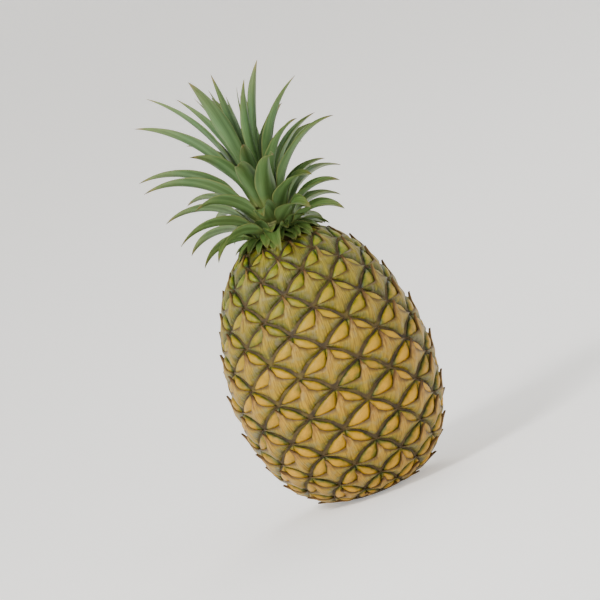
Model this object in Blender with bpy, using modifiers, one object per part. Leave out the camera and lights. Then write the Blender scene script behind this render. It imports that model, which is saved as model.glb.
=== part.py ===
"""A whole pineapple standing on its base: the fruit, its cut stalk, the crown's stem and the crown's leaves.

Metres, +Z up along the fruit's axis. The origin is the centre of the flat spot that the fruit stands on.
The front of the fruit faces -Y. A bearing is an angle about the axis, from the front towards +X.
"""

import math

import bmesh
import bpy
from mathutils import Vector

# Fruit: a body of revolution, with its eyes raised on it
BODY_HEIGHT = 0.168
BODY_RADIUS = 0.065
WIDEST_HEIGHT = 0.078
FOOT_RADIUS = 0.017
CROWN_SEAT_RADIUS = 0.017
LOWER_FULLNESS = 3.1
LOWER_BEND = 2.0
UPPER_FULLNESS = 2.87
UPPER_BEND = 1.5

# Eyes: cells of a lattice made by two families of spirals
SPIRALS_RIGHT = 10
SPIRALS_LEFT = 11
EYE_PITCH = 0.0254
EYE_LEAN = math.radians(-3.0)
FIRST_EYE_BEARING = math.radians(-1.8)
FIRST_EYE_HEIGHT = 0.073
EYE_RELIEF = 0.0034
FULL_RELIEF_RADIUS = 0.046
END_EYE_MARGIN = 0.004
RIM_SIDES = 42

# Stalk, cut level with the foot, and the pocket that it fills
STALK_RADIUS = 0.010
STALK_LENGTH = 0.014
ROUND_SIDES = 48

# Crown stem
STEM_BASE_RADIUS = 0.013
STEM_TIP_RADIUS = 0.0022
STEM_LENGTH = 0.036
STEM_SIDES = 24

# Crown leaves, from the lowest (first) to the innermost (last)
LEAF_COUNT = 55
LEAF_ROW_START = 0.0016
LEAF_ROW_END = 0.0022
LEAF_FIRST_BEARING = math.radians(4.0)
LEAF_THICKNESS = 0.0009
INNER_LEAF_THICKNESS = 0.0006
LEAF_WIDTH = 0.0165
INNER_LEAF_WIDTH = 0.0050
OUTER_LEAF_LENGTH = 0.036
LONGEST_LEAF_LENGTH = 0.092
INNER_LEAF_LENGTH = 0.052
LONGEST_LEAF_PLACE = 0.78
LEAF_TIP_WIDTH = 0.0010
LEAF_BASE_SHARE = 0.50
CROWDED_LEAF_WIDTH = 0.74  # most that a leaf spans near the stem, as a share of its distance from the axis
OUTER_LEAF_RISE = -14.0
INNER_LEAF_RISE = 88.0
LEAF_ARCH = 68.0
INNER_LEAF_ARCH = 8.0
LEAF_FOLD = 32.0
LEAF_ROLL = 18.0
GOLDEN_ANGLE = math.pi * (3.0 - math.sqrt(5.0))

FIT_GAP = 0.0003

# Leaves that differ from their neighbours: leaf number -> (turn in degrees, length factor, lift in degrees)
LEAF_HABITS = {
    0: (-6, 1.05, -3),
    3: (0, 1.00, 3),
    5: (-12, 1.15, -5),
    6: (12, 0.95, 6),
    7: (2, 1.05, 0),
    10: (-4, 1.05, 1),
    11: (-12, 0.80, 5),
    13: (4, 0.75, -6),
    14: (0, 1.05, 1),
    15: (-2, 0.95, 5),
    16: (-12, 0.85, 0),
    18: (-6, 0.80, 0),
    19: (10, 0.64, 6),
    20: (0, 0.80, 0),
    24: (-4, 0.95, 2),
    26: (12, 0.73, -3),
    27: (6, 0.82, 0),
    28: (10, 0.95, -6),
    29: (4, 0.85, -3),
    31: (6, 0.70, 3),
    32: (6, 0.70, -2),
    33: (0, 0.80, 0),
    34: (0, 0.56, 0),
    35: (0, 0.78, 0),
    36: (0, 1.00, -2),
    37: (2, 0.90, -4),
    38: (0, 0.95, 0),
    39: (12, 1.02, 2),
    40: (0, 0.66, 2),
    41: (2, 1.05, -3),
    42: (4, 0.84, 0),
    43: (0, 0.78, 0),
    44: (0, 0.85, 1),
    45: (-2, 0.90, 2),
    46: (0, 0.82, 0),
    47: (6, 0.93, 0),
    48: (0, 0.72, 0),
    49: (0, 0.85, 0),
    50: (0, 0.76, 0),
    51: (0, 0.85, 0),
}
# Stations along a leaf, as shares of its length
LEAF_STATIONS = (0.0, 0.10, 0.24, 0.40, 0.56, 0.71, 0.84, 0.94, 1.0)


def clear_scene():
    for obj in list(bpy.data.objects):
        bpy.data.objects.remove(obj, do_unlink=True)


def make_collection(name):
    collection = bpy.data.collections.new(name)
    bpy.context.scene.collection.children.link(collection)
    return collection


def make_material(name, colour, roughness, metallic=0.0):
    material = bpy.data.materials.new(name)
    material.use_nodes = True
    shader = material.node_tree.nodes["Principled BSDF"]
    shader.inputs["Base Color"].default_value = (*colour, 1.0)
    shader.inputs["Roughness"].default_value = roughness
    shader.inputs["Metallic"].default_value = metallic
    material.diffuse_color = (*colour, 1.0)
    return material


def add_object(name, mesh, collection, material=None):
    obj = bpy.data.objects.new(name, mesh)
    collection.objects.link(obj)
    if material is not None:
        mesh.materials.append(material)
    return obj


def mesh_from(name, points, faces, sharp_degrees=40.0):
    """A mesh whose faces are turned to point outwards, shaded smooth over its gentle edges."""
    mesh = bpy.data.meshes.new(name)
    mesh.from_pydata(points, [], faces)
    shell = bmesh.new()
    shell.from_mesh(mesh)
    bmesh.ops.recalc_face_normals(shell, faces=shell.faces)
    shell.to_mesh(mesh)
    shell.free()
    mesh.shade_smooth()
    mesh.set_sharp_from_angle(angle=math.radians(sharp_degrees))
    return mesh


def smooth_step(x):
    x = min(1.0, max(0.0, x))
    return x * x * (3.0 - 2.0 * x)


class Profile:
    """The outline of the fruit's crests, from the rim of its foot to the rim of its crown seat."""

    STEPS = 400

    def __init__(self):
        foot_share = FOOT_RADIUS / BODY_RADIUS
        seat_share = CROWN_SEAT_RADIUS / BODY_RADIUS
        foot_place = (1.0 - foot_share**LOWER_FULLNESS) ** (1.0 / LOWER_BEND)
        seat_place = (1.0 - seat_share**UPPER_FULLNESS) ** (1.0 / UPPER_BEND)
        self.lower_span = WIDEST_HEIGHT / foot_place
        self.upper_span = (BODY_HEIGHT - WIDEST_HEIGHT) / seat_place
        self.heights = []
        self.lengths = []
        length = 0.0
        last = None
        for step in range(self.STEPS + 1):
            height = BODY_HEIGHT * 0.5 * (1.0 - math.cos(math.pi * step / self.STEPS))
            here = (self.radius(height), height)
            if last is not None:
                length += math.dist(here, last)
            self.heights.append(height)
            self.lengths.append(length)
            last = here
        self.length = length

    def radius(self, height):
        if height < WIDEST_HEIGHT:
            share = (WIDEST_HEIGHT - height) / self.lower_span
            return BODY_RADIUS * (1.0 - share**LOWER_BEND) ** (1.0 / LOWER_FULLNESS)
        share = (height - WIDEST_HEIGHT) / self.upper_span
        return BODY_RADIUS * (1.0 - share**UPPER_BEND) ** (1.0 / UPPER_FULLNESS)

    def lookup(self, value, known, wanted):
        low = 0
        high = len(known) - 1
        while high - low > 1:
            middle = (low + high) // 2
            if known[middle] <= value:
                low = middle
            else:
                high = middle
        share = (value - known[low]) / (known[high] - known[low])
        return wanted[low] + share * (wanted[high] - wanted[low])

    def point(self, bearing, along, lift):
        """The point at a bearing, a distance along the outline from the foot, and a lift off the crests."""
        along = min(self.length, max(0.0, along))
        height = self.lookup(along, self.lengths, self.heights)
        step = 0.0004
        below = max(0.0, height - step)
        above = min(BODY_HEIGHT, height + step)
        rise = above - below
        outward = self.radius(above) - self.radius(below)
        size = math.hypot(rise, outward)
        radius = self.radius(height)
        relief = min(1.0, radius / FULL_RELIEF_RADIUS)
        radius += lift * relief * rise / size
        height -= lift * relief * outward / size
        return (radius * math.sin(bearing), -radius * math.cos(bearing), height)


class EyeLattice:
    """Eyes numbered by two spiral steps: i goes down to the right, and j down to the left."""

    # An eye's points: its place in i and j from the eye's top corner, and its lift in shares of EYE_RELIEF
    SHAPE = {
        "corner": (0.00, 0.00, -1.00),
        "left_side": (-0.07, 0.50, -0.75),
        "right_side": (0.50, -0.07, -0.75),
        "tip": (0.06, 0.06, 0.20),
        "spike": (0.30, 0.30, -0.15),
        "left_notch": (0.42, 0.64, -0.55),
        "right_notch": (0.64, 0.42, -0.55),
        "left_petal": (0.14, 0.54, -0.12),
        "right_petal": (0.54, 0.14, -0.12),
        "bract": (0.68, 0.68, 0.00),
    }

    def __init__(self, profile):
        self.profile = profile
        turn = 2.0 * math.pi
        both = SPIRALS_RIGHT + SPIRALS_LEFT
        self.left_turn = (turn - SPIRALS_RIGHT * EYE_LEAN) / both
        self.right_turn = self.left_turn + EYE_LEAN
        self.right_drop = EYE_PITCH * SPIRALS_LEFT / both
        self.left_drop = EYE_PITCH * SPIRALS_RIGHT / both
        self.first = profile.lookup(FIRST_EYE_HEIGHT, profile.heights, profile.lengths)

    def bearing(self, i, j):
        return FIRST_EYE_BEARING + i * self.right_turn - j * self.left_turn

    def along(self, i, j):
        return self.first - i * self.right_drop - j * self.left_drop

    def canonical(self, i, j):
        """One number for the same corner, however many times the spirals went round to reach it."""
        turns = i // SPIRALS_RIGHT
        return i - turns * SPIRALS_RIGHT, j + turns * SPIRALS_LEFT

    def eyes(self):
        """Every whole eye between the foot and the crown seat."""
        reach = 2 * int(self.profile.length / EYE_PITCH) + SPIRALS_RIGHT + SPIRALS_LEFT
        for i in range(SPIRALS_RIGHT):
            for j in range(-reach, reach):
                highest = self.along(i, j)
                lowest = self.along(i + 1, j + 1)
                if highest < self.profile.length - END_EYE_MARGIN and lowest > END_EYE_MARGIN:
                    yield i, j


def eye_faces(name_of):
    """An eye's triangles: a petal on each side of the spike, and the star-shaped bract below them."""
    corners = {
        "top": name_of(0, 0, "corner"),
        "left": name_of(0, 1, "corner"),
        "right": name_of(1, 0, "corner"),
        "bottom": name_of(1, 1, "corner"),
        "left_side": name_of(0, 0, "left_side"),
        "right_side": name_of(0, 0, "right_side"),
        "lower_left_side": name_of(0, 1, "right_side"),
        "lower_right_side": name_of(1, 0, "left_side"),
    }
    for inner in ("tip", "spike", "left_notch", "right_notch", "left_petal", "right_petal", "bract"):
        corners[inner] = name_of(0, 0, inner)
    rings = (
        ("left_petal", ("top", "left_notch", "left", "left_side")),
        ("right_petal", ("top", "right_side", "right", "right_notch")),
        ("tip", ("top", "right_notch", "spike", "left_notch")),
        ("bract", ("spike", "right_notch", "right", "lower_right_side", "bottom", "lower_left_side", "left",
                   "left_notch")),
    )
    for centre, ring in rings:
        for place, name in enumerate(ring):
            other = ring[(place + 1) % len(ring)]
            yield corners[centre], corners[name], corners[other]


def border_loops(faces):
    """The closed chains of edges that belong to one face only."""
    after = {}
    edges = set()
    for face in faces:
        for place, start in enumerate(face):
            edges.add((start, face[(place + 1) % len(face)]))
    for start, end in edges:
        if (end, start) not in edges:
            after[start] = end
    loops = []
    while after:
        start = next(iter(after))
        loop = [start]
        here = after.pop(start)
        while here != start:
            loop.append(here)
            here = after.pop(here)
        loops.append(loop)
    return loops


def bearing_of(point):
    return math.atan2(point[0], -point[1])


def bridge(points, first, second):
    """Triangles between two rings of points that both go round the axis."""
    rings = []
    for ring in (first, second):
        ordered = sorted(ring, key=lambda index: bearing_of(points[index]))
        bearings = [bearing_of(points[index]) for index in ordered]
        rings.append((ordered + ordered[:1], bearings + [bearings[0] + 2.0 * math.pi]))
    (a_ring, a_turns), (b_ring, b_turns) = rings
    a = 0
    b = 0
    faces = []
    while a < len(a_ring) - 1 or b < len(b_ring) - 1:
        a_next = a_turns[a + 1] if a < len(a_ring) - 1 else math.inf
        b_next = b_turns[b + 1] if b < len(b_ring) - 1 else math.inf
        if a_next <= b_next:
            faces.append((a_ring[a], a_ring[a + 1], b_ring[b]))
            a += 1
        else:
            faces.append((a_ring[a], b_ring[b + 1], b_ring[b]))
            b += 1
    return faces


def make_fruit(profile, collection, cutters):
    lattice = EyeLattice(profile)
    points = []
    index_of = {}

    def point_index(i, j, name):
        i, j = lattice.canonical(i, j)
        key = (i, j, name)
        if key not in index_of:
            right, left, lift = EyeLattice.SHAPE[name]
            index_of[key] = len(points)
            bearing = lattice.bearing(i + right, j + left)
            along = lattice.along(i + right, j + left)
            points.append(profile.point(bearing, along, lift * EYE_RELIEF))
        return index_of[key]

    faces = []
    for i, j in lattice.eyes():
        faces.extend(eye_faces(lambda right, left, name: point_index(i + right, j + left, name)))

    lower_border, upper_border = sorted(border_loops(faces), key=lambda loop: points[loop[0]][2])
    for border, radius, height in ((lower_border, FOOT_RADIUS, 0.0),
                                   (upper_border, CROWN_SEAT_RADIUS, BODY_HEIGHT)):
        rim = []
        for side in range(RIM_SIDES):
            bearing = 2.0 * math.pi * side / RIM_SIDES
            rim.append(len(points))
            points.append((radius * math.sin(bearing), -radius * math.cos(bearing), height))
        faces.extend(bridge(points, border, rim))
        faces.append(rim)

    material = make_material("pineapple_rind", (0.62, 0.36, 0.08), 0.55)
    fruit = add_object("fruit", mesh_from("fruit", points, faces), collection, material)
    pocket_mesh = cylinder_mesh("stalk_pocket", STALK_RADIUS + FIT_GAP, -STALK_LENGTH, STALK_LENGTH + FIT_GAP)
    pocket = add_object("stalk_pocket_cutter", pocket_mesh, cutters)
    pocket.display_type = "WIRE"
    pocket.hide_render = True
    cut = fruit.modifiers.new("stalk pocket", "BOOLEAN")
    cut.operation = "DIFFERENCE"
    cut.solver = "EXACT"
    cut.object = pocket
    return fruit


def cylinder_mesh(name, radius, bottom, top):
    mesh = bpy.data.meshes.new(name)
    shape = bmesh.new()
    bmesh.ops.create_cone(shape, cap_ends=True, segments=ROUND_SIDES, radius1=radius, radius2=radius,
                          depth=top - bottom)
    bmesh.ops.translate(shape, verts=shape.verts, vec=(0.0, 0.0, 0.5 * (bottom + top)))
    shape.to_mesh(mesh)
    shape.free()
    mesh.shade_smooth()
    mesh.set_sharp_from_angle(angle=math.radians(40.0))
    return mesh


def make_cut_stalk(collection):
    material = make_material("cut_stalk_fibre", (0.55, 0.45, 0.25), 0.85)
    mesh = cylinder_mesh("cut_stalk", STALK_RADIUS, 0.0, STALK_LENGTH)
    return add_object("cut_stalk", mesh, collection, material)


def stem_radius(height):
    share = (height - BODY_HEIGHT - FIT_GAP) / STEM_LENGTH
    return STEM_BASE_RADIUS + (STEM_TIP_RADIUS - STEM_BASE_RADIUS) * min(1.0, max(0.0, share))


def make_crown_stem(collection):
    """A cone turned from its side's outline, which runs down from the tip."""
    bottom = BODY_HEIGHT + FIT_GAP
    top = bottom + STEM_LENGTH
    outline = [(0.0, top), (STEM_TIP_RADIUS, top), (STEM_BASE_RADIUS, bottom), (0.0, bottom)]
    mesh = bpy.data.meshes.new("crown_stem")
    edges = [(place, place + 1) for place in range(len(outline) - 1)]
    mesh.from_pydata([(radius, 0.0, height) for radius, height in outline], edges, [])
    material = make_material("crown_stem_green", (0.45, 0.50, 0.22), 0.6)
    stem = add_object("crown_stem", mesh, collection, material)
    turned = stem.modifiers.new("turned", "SCREW")
    turned.steps = STEM_SIDES
    turned.render_steps = STEM_SIDES
    turned.use_merge_vertices = True
    turned.merge_threshold = 0.00005
    return stem


class CrownLeaf:
    """One leaf of the crown. Its middle line lies in an upright plane through the fruit's axis."""

    PATH_STEPS = 48
    # Places in the crown, from 0 for the outermost leaf to 1 for the innermost
    ARCH_EASES_FROM = 0.50
    ARCH_EASE_POWER = 1.2
    YOUNG_FROM = 0.66
    RISE_POWER = 0.95
    LENGTH_POWER = 1.2
    # Shares of a leaf's own length
    ARCH_POWER = 1.3
    SWELL_END = 0.30
    TAPER_POWER = 2.2
    TAPER_FULLNESS = 0.9
    FOLD_START = 0.04
    FOLD_END = 0.34
    ROLL_END = 0.60
    # How closely the blade's base wraps round the stem
    BASE_CLASP = 0.2
    BASE_CLASP_LIMIT = 0.42
    LEAST_START_SINE = 0.35

    def __init__(self, number):
        turn, length_factor, lift = LEAF_HABITS.get(number, (0, 1.0, 0))
        place = (number + 0.5) / LEAF_COUNT
        self.place = place
        self.bearing = LEAF_FIRST_BEARING + number * GOLDEN_ANGLE + math.radians(turn)
        self.length = length_factor * self.usual_length(place)
        inner = max(0.0, (place - self.ARCH_EASES_FROM) / (1.0 - self.ARCH_EASES_FROM))
        arch = LEAF_ARCH + (INNER_LEAF_ARCH - LEAF_ARCH) * inner**self.ARCH_EASE_POWER
        rise = OUTER_LEAF_RISE + (INNER_LEAF_RISE - OUTER_LEAF_RISE) * place**self.RISE_POWER + lift
        self.start_rise = math.radians(rise + arch / (1.0 + self.ARCH_POWER))
        self.arch = math.radians(arch)
        young = smooth_step((place - self.YOUNG_FROM) / (1.0 - self.YOUNG_FROM))
        self.width = LEAF_WIDTH + (INNER_LEAF_WIDTH - LEAF_WIDTH) * young
        self.thickness = LEAF_THICKNESS + (INNER_LEAF_THICKNESS - LEAF_THICKNESS) * young
        self.path = self.follow_path()

    def usual_length(self, place):
        if place < LONGEST_LEAF_PLACE:
            grown = math.sin(0.5 * math.pi * place / LONGEST_LEAF_PLACE) ** self.LENGTH_POWER
            return OUTER_LEAF_LENGTH + (LONGEST_LEAF_LENGTH - OUTER_LEAF_LENGTH) * grown
        shrunk = ((place - LONGEST_LEAF_PLACE) / (1.0 - LONGEST_LEAF_PLACE)) ** 2
        return LONGEST_LEAF_LENGTH + (INNER_LEAF_LENGTH - LONGEST_LEAF_LENGTH) * shrunk

    def rise_at(self, share):
        return self.start_rise - self.arch * share**self.ARCH_POWER

    def follow_path(self):
        """Distances from the axis and heights, at even steps along the leaf."""
        row_length = FIT_GAP + STEM_LENGTH - LEAF_ROW_START - LEAF_ROW_END
        height = BODY_HEIGHT + LEAF_ROW_START + row_length * self.place
        half_across = 0.5 * self.thickness / max(self.LEAST_START_SINE, math.sin(self.start_rise))
        distance = stem_radius(height) + FIT_GAP + half_across
        path = [(distance, height)]
        step = self.length / self.PATH_STEPS
        for count in range(self.PATH_STEPS):
            rise = self.rise_at((count + 0.5) / self.PATH_STEPS)
            distance += step * math.cos(rise)
            height += step * math.sin(rise)
            path.append((distance, height))
        return path

    def path_point(self, share):
        place = min(self.PATH_STEPS - 1e-6, share * self.PATH_STEPS)
        step = int(place)
        part = place - step
        (d0, h0), (d1, h1) = self.path[step], self.path[step + 1]
        return d0 + part * (d1 - d0), h0 + part * (h1 - h0)

    def width_at(self, share):
        swell = LEAF_BASE_SHARE + (1.0 - LEAF_BASE_SHARE) * smooth_step(share / self.SWELL_END)
        taper = max(0.0, 1.0 - share**self.TAPER_POWER) ** self.TAPER_FULLNESS
        room = CROWDED_LEAF_WIDTH * self.path_point(share)[0]
        return max(LEAF_TIP_WIDTH, min(room, self.width * swell) * taper)

    def fold_at(self, share):
        """How far each half of the blade folds up from the middle line, in radians."""
        clasp = math.asin(min(self.BASE_CLASP_LIMIT, self.BASE_CLASP * self.width_at(0.0) / self.path[0][0]))
        opened = smooth_step((share - self.FOLD_START) / (self.FOLD_END - self.FOLD_START))
        return clasp + (math.radians(LEAF_FOLD) - clasp) * opened

    def section(self, share):
        """Left edge, middle and right edge of the blade."""
        distance, height = self.path_point(share)
        rise = self.rise_at(share)
        out = Vector((math.sin(self.bearing), -math.cos(self.bearing), 0.0))
        side = Vector((math.cos(self.bearing), math.sin(self.bearing), 0.0))
        up = Vector((0.0, 0.0, 1.0))
        middle = out * distance + up * height
        inner_face = up * math.cos(rise) - out * math.sin(rise)
        half = 0.5 * self.width_at(share)
        fold = self.fold_at(share)
        roll = math.radians(LEAF_ROLL) * smooth_step((share - self.FOLD_START) / self.ROLL_END)
        across = side * math.cos(roll) + inner_face * math.sin(roll)
        inner_face = inner_face * math.cos(roll) - side * math.sin(roll)
        lifted = inner_face * (half * math.sin(fold))
        spread = across * (half * math.cos(fold))
        return [middle - spread + lifted, middle, middle + spread + lifted]


def make_crown_leaf(number, collection, material):
    """A folded blade given its thickness on both sides of the sheet."""
    leaf = CrownLeaf(number)
    points = []
    faces = []
    for station, share in enumerate(LEAF_STATIONS):
        points.extend(leaf.section(share))
        if station:
            here = 3 * station
            before = here - 3
            faces.append((before, before + 1, here + 1, here))
            faces.append((before + 1, before + 2, here + 2, here + 1))
    name = f"crown_leaf_{number + 1:02d}"
    mesh = bpy.data.meshes.new(name)
    mesh.from_pydata(points, [], faces)
    mesh.shade_smooth()
    obj = add_object(name, mesh, collection, material)
    thickness = obj.modifiers.new("thickness", "SOLIDIFY")
    thickness.thickness = leaf.thickness
    thickness.offset = 0.0
    return obj


def main():
    clear_scene()
    pineapple = make_collection("pineapple")
    cutters = make_collection("cutters")
    make_fruit(Profile(), pineapple, cutters)
    make_cut_stalk(pineapple)
    make_crown_stem(pineapple)
    leaf_green = make_material("crown_leaf_green", (0.16, 0.27, 0.10), 0.5)
    for number in range(LEAF_COUNT):
        make_crown_leaf(number, pineapple, leaf_green)


main()
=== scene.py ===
"""The looks of a ripe pineapple: its rind of eyes, their papery bracts, its cut stalk and its leafy crown.

Metres, +Z up the fruit's axis, the front facing -Y. A bearing is an angle about the axis, from the front
towards +X.
"""

import math

import bmesh
import bpy
from mathutils import Matrix, Vector


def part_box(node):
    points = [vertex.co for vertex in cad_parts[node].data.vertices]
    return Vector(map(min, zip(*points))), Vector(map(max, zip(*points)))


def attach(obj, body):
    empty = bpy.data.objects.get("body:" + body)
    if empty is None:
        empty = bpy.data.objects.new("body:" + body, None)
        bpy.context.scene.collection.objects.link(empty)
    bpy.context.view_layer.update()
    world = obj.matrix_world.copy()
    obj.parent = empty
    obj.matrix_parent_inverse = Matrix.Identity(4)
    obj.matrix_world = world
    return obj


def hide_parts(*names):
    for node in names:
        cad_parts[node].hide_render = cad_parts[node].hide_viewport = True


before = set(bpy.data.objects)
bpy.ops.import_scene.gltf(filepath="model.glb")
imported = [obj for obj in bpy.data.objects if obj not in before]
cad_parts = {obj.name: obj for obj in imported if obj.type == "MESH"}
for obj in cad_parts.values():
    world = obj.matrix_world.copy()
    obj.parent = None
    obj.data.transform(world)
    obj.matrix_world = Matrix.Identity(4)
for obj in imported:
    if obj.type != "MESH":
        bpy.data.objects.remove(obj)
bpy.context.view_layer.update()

MM = 0.001
TURN = 2.0 * math.pi
GOLDEN_ANGLE = math.pi * (3.0 - math.sqrt(5.0))

# Sizes that the frame gives
STEM_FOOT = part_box("crown_stem")[0].z
STEM_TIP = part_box("crown_stem")[1].z
STEM_BASE_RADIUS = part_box("crown_stem")[1].x
STALK_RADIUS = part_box("cut_stalk")[1].x
STALK_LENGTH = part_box("cut_stalk")[1].z
FIT_GAP = 0.3 * MM
WELD = 0.01 * MM  # points nearer than this are one
BODY_HEIGHT = STEM_FOOT - FIT_GAP

# The fruit's outline, through the crests of its eyes
BODY_RADIUS = 65.0 * MM
WIDEST_HEIGHT = 78.0 * MM
FOOT_RADIUS = 17.0 * MM
CROWN_SEAT_RADIUS = 17.0 * MM
LOWER_FULLNESS = 3.1
LOWER_BEND = 2.0
UPPER_FULLNESS = 2.87
UPPER_BEND = 1.5
OUTLINE_STEPS = 400

# The eyes' spirals
SPIRALS_RIGHT = 10
SPIRALS_LEFT = 11
EYE_PITCH = 25.4 * MM
EYE_LEAN = math.radians(-3.0)
FIRST_EYE_BEARING = math.radians(-1.8)
FIRST_EYE_HEIGHT = 73.0 * MM
EYE_RELIEF = 3.4 * MM
FULL_RELIEF_RADIUS = 46.0 * MM
EYE_BOW = 0.07  # how far an eye's upper sides bulge over its neighbours, in eyes
EASED_END = 13.0 * MM  # nearer than this to a rim, the eyes get smaller
RIM_OVERHANG = 0.35  # of an eye's pitch may lie past a rim, and is squeezed in front of it
RIM_RELIEF = 0.25  # of the relief is left at a rim
GROOVE_DEPTH = 0.86  # of the relief

# The crown's leaves
LEAF_COUNT = 55
LEAF_ROW_START = 1.6 * MM
LEAF_ROW_END = 2.2 * MM
LEAF_FIRST_BEARING = math.radians(4.0)
LEAF_THICKNESS = 0.9 * MM
INNER_LEAF_THICKNESS = 0.6 * MM
LEAF_WIDTH = 16.5 * MM
INNER_LEAF_WIDTH = 5.0 * MM
OUTER_LEAF_LENGTH = 36.0 * MM
LONGEST_LEAF_LENGTH = 92.0 * MM
INNER_LEAF_LENGTH = 52.0 * MM
LONGEST_LEAF_PLACE = 0.78
LEAF_BASE_SHARE = 0.50
CROWDED_LEAF_WIDTH = 0.74
OUTER_LEAF_RISE = -14.0
INNER_LEAF_RISE = 88.0
LEAF_ARCH = 68.0
INNER_LEAF_ARCH = 8.0
LEAF_FOLD = math.radians(32.0)
LEAF_ROLL = math.radians(18.0)
STEM_TIP_RADIUS = 2.2 * MM

# Leaves that differ from their neighbours: leaf number -> (turn in degrees, length factor, lift in degrees)
LEAF_HABITS = {
    0: (-6, 1.05, -3), 3: (0, 1.00, 3), 5: (-12, 1.15, -5), 6: (12, 0.95, 6),
    7: (2, 1.05, 0), 10: (-4, 1.05, 1), 11: (-12, 0.80, 5), 13: (4, 0.75, -6),
    14: (0, 1.05, 1), 15: (-2, 0.95, 5), 16: (-12, 0.85, 0), 18: (-6, 0.80, 0),
    19: (10, 0.64, 6), 20: (0, 0.80, 0), 24: (-4, 0.95, 2), 26: (12, 0.73, -3),
    27: (6, 0.82, 0), 28: (10, 0.95, -6), 29: (4, 0.85, -3), 31: (6, 0.70, 3),
    32: (6, 0.70, -2), 33: (0, 0.80, 0), 34: (0, 0.56, 0), 35: (0, 0.78, 0),
    36: (0, 1.00, -2), 37: (2, 0.90, -4), 38: (0, 0.95, 0), 39: (12, 1.02, 2),
    40: (0, 0.66, 2), 41: (2, 1.05, -3), 42: (4, 0.84, 0), 43: (0, 0.78, 0),
    44: (0, 0.85, 1), 45: (-2, 0.90, 2), 46: (0, 0.82, 0), 47: (6, 0.93, 0),
    48: (0, 0.72, 0), 49: (0, 0.85, 0), 50: (0, 0.76, 0), 51: (0, 0.85, 0),
}

# Leaves whose blade is twisted or broad for its place: leaf number -> (degrees more of roll, width factor)
LEAF_BLADES = {
    23: (8, 1.0), 28: (8, 1.0), 36: (12, 1.0), 37: (-8, 1.0), 40: (-10, 1.0), 41: (14, 1.0), 45: (-62, 1.35),
}


# ---------------------------------------------------------------- small tools

# Kinds of node that come up again and again
MATH = "ShaderNodeMath"
VECTOR_MATH = "ShaderNodeVectorMath"
MAP_RANGE = "ShaderNodeMapRange"
SEPARATE = "ShaderNodeSeparateXYZ"
COMBINE = "ShaderNodeCombineXYZ"
NOISE = "ShaderNodeTexNoise"
RAMP = "ShaderNodeValToRGB"
MIX = "ShaderNodeMix"
NAMED_VALUE = "GeometryNodeInputNamedAttribute"
PLACE = "GeometryNodeSetPosition"
GROUP = "GeometryNodeGroup"


def colour(code):
    """The linear colour of an sRGB hex code."""
    parts = [int(code[place:place + 2], 16) / 255.0 for place in (1, 3, 5)]
    return tuple(p / 12.92 if p <= 0.04045 else ((p + 0.055) / 1.055) ** 2.4 for p in parts) + (1.0,)


def add(tree, kind, sockets=None, stops=None, **settings):
    """Adds a node to a tree: what its sockets hold or are linked to, its ramp's stops, and its settings.

    A socket given a whole node is linked to that node's first output."""
    node = tree.nodes.new(kind)
    for name, value in settings.items():
        setattr(node, name, value)
    for socket, value in (sockets or {}).items():
        if isinstance(value, bpy.types.Node):
            value = value.outputs[0]
        if isinstance(value, bpy.types.NodeSocket):
            tree.links.new(value, node.inputs[socket])
        else:
            node.inputs[socket].default_value = value
    if stops:
        elements = node.color_ramp.elements
        for element, (position, code) in zip((elements[0], elements[1]), (stops[0], stops[-1])):
            element.position = position
            element.color = colour(code)
        for position, code in stops[1:-1]:
            elements.new(position).color = colour(code)
    return node


def new_tree(name, gives, **takes):
    """A tree with one output and with named inputs, listed by their kind. Gives the tree and its inputs."""
    tree = bpy.data.node_groups.new(name, "GeometryNodeTree")
    labels = []
    for kind, listed in takes.items():
        for label in listed.split(", "):
            tree.interface.new_socket(label, in_out="INPUT", socket_type="NodeSocket" + kind)
            labels.append(label)
    tree.interface.new_socket(gives, in_out="OUTPUT", socket_type="NodeSocket" + gives)
    given = add(tree, "NodeGroupInput")
    return tree, {label: given.outputs[label] for label in labels}


def give(tree, value):
    """Ends a tree with what it makes."""
    add(tree, "NodeGroupOutput", {0: value})


def give_dressed(tree, shape, material):
    """Ends a tree with its shape made real and its material on it."""
    real = add(tree, "GeometryNodeRealizeInstances", {"Geometry": shape})
    dressed = add(tree, "GeometryNodeSetMaterial", {"Geometry": real, "Material": material})
    give(tree, dressed)


def grow(name, mesh, tree, sizes):
    """Runs a tree on a mesh and keeps the result as a plain mesh."""
    piece = bpy.data.objects.new(name, mesh)
    bpy.context.scene.collection.objects.link(piece)
    rule = piece.modifiers.new("rule", "NODES")
    rule.node_group = tree
    for item in tree.interface.items_tree:
        if item.in_out == "INPUT" and item.name in sizes:
            rule[item.identifier] = sizes[item.name]
    settled = piece.evaluated_get(bpy.context.evaluated_depsgraph_get())
    grown = bpy.data.meshes.new_from_object(settled)
    piece.modifiers.remove(rule)
    piece.data = grown
    grown.name = name
    return piece


def helper_object(name, mesh):
    """An object that only feeds a tree, and is taken away at the end."""
    helper = bpy.data.objects.new(name, mesh)
    bpy.context.scene.collection.objects.link(helper)
    helpers.append(helper)
    return helper


def line_mesh(name, points, measures):
    """A chain of edges through the points, with a value at each of them for every named measure."""
    mesh = bpy.data.meshes.new(name)
    mesh.from_pydata(points, [(place, place + 1) for place in range(len(points) - 1)], [])
    for label, values in measures.items():
        is_vector = hasattr(values[0], "__len__")
        layer = mesh.attributes.new(label, "FLOAT_VECTOR" if is_vector else "FLOAT", "POINT")
        flat = [number for value in values for number in value] if is_vector else values
        layer.data.foreach_set("vector" if is_vector else "value", flat)
    return mesh


def smooth_step(x):
    """Rises from 0 at 0 to 1 at 1, level at both ends and past them."""
    x = min(1.0, max(0.0, x))
    return x * x * (3.0 - 2.0 * x)


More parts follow.
